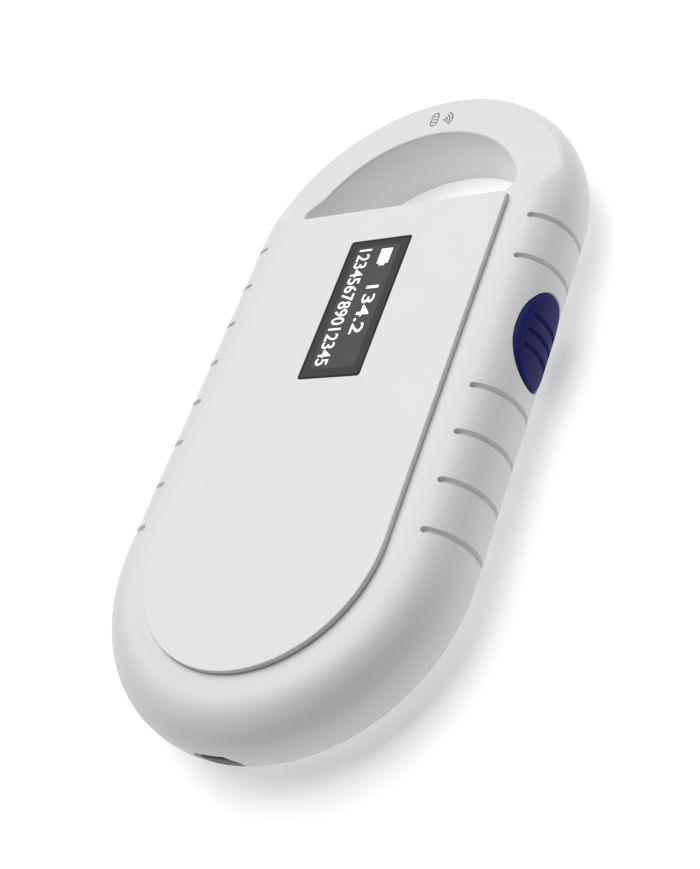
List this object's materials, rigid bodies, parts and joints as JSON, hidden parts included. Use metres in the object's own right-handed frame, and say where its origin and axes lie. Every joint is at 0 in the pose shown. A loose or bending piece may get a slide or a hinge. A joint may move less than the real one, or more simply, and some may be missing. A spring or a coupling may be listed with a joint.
{
  "type": "microchip scanner",
  "caption": "Handheld veterinary microchip scanner with a D-shaped loop handle, small display window, side power button and charging inlet.",
  "frame": {"origin": "on the back face, under the middle of the case outline", "axes": "+Z out of the display, +Y towards the loop handle, +X on the power button's side; the scanner lies on its back"},
  "size_m": [0.0614, 0.1221, 0.0146],
  "materials": {
    "shell_white": "satin moulded ABS, light grey-white",
    "panel_white": "smooth satin ABS, a little lighter than the shell",
    "button_blue": "satin dark blue ABS",
    "window_black": "smoked acrylic lens, polished",
    "display_glass": "dark display glass",
    "black_plastic": "black moulded plastic",
    "foam_black": "black adhesive foam",
    "flex_amber": "polyimide film",
    "board_green": "green solder mask",
    "chip_black": "moulded epoxy",
    "capacitor_tan": "matt ceramic",
    "steel": "plated steel",
    "battery_silver": "foil pouch",
    "coil_copper": "enamelled copper wire",
    "wire_red": "red insulation",
    "wire_black": "black insulation",
    "tape_white": "off-white nylon and foam tape",
    "label_silver": "blank matt rating label"
  },
  "bodies": {
    "case": {"front_shell": "shell_white", "rear_cover": "shell_white", "front_panel": "panel_white", "display_window": "window_black", "display_gasket": "foam_black", "oled_glass": "display_glass", "display_frame": "black_plastic", "oled_flex": "flex_amber", "tact_switch_body": "steel", "main_pcb": "board_green", "microcontroller": "chip_black", "rf_reader_chip": "chip_black", "crystal": "steel", "inductor": "chip_black", "charger_chip": "chip_black", "capacitor_1": "capacitor_tan", "capacitor_2": "capacitor_tan", "capacitor_3": "capacitor_tan", "capacitor_4": "capacitor_tan", "buzzer": "chip_black", "usb_socket": "steel", "usb_tongue": "black_plastic", "battery_pack": "battery_silver", "battery_tape": "tape_white", "battery_connector": "tape_white", "battery_lead_red": "wire_red", "battery_lead_black": "wire_black", "antenna_coil": "coil_copper", "antenna_connector": "tape_white", "antenna_lead_1": "coil_copper", "antenna_lead_2": "coil_copper", "rear_label": "label_silver", "case_screw_1": "steel", "case_screw_2": "steel", "case_screw_3": "steel", "case_screw_4": "steel", "case_screw_5": "steel", "case_screw_6": "steel", "pcb_screw_1": "steel", "pcb_screw_2": "steel", "pcb_screw_3": "steel", "pcb_screw_4": "steel"},
    "button": {"power_button": "button_blue"},
    "switch_stem": {"tact_switch_stem": "black_plastic"}
  },
  "joints": [
    {"name": "button_press", "type": "slide", "parent": "case", "child": "button", "axis": [-1, 0, 0], "range_m": [0, 0.0005], "stiffness_N_per_m": 600, "springref_m": -0.001},
    {"name": "stem_press", "type": "slide", "parent": "case", "child": "switch_stem", "axis": [-1, 0, 0], "range_m": [0, 0.0003]}
  ],
  "couplings": [
    {"joint": "stem_press", "follows": "button_press", "ratio": 0.5}
  ]
}
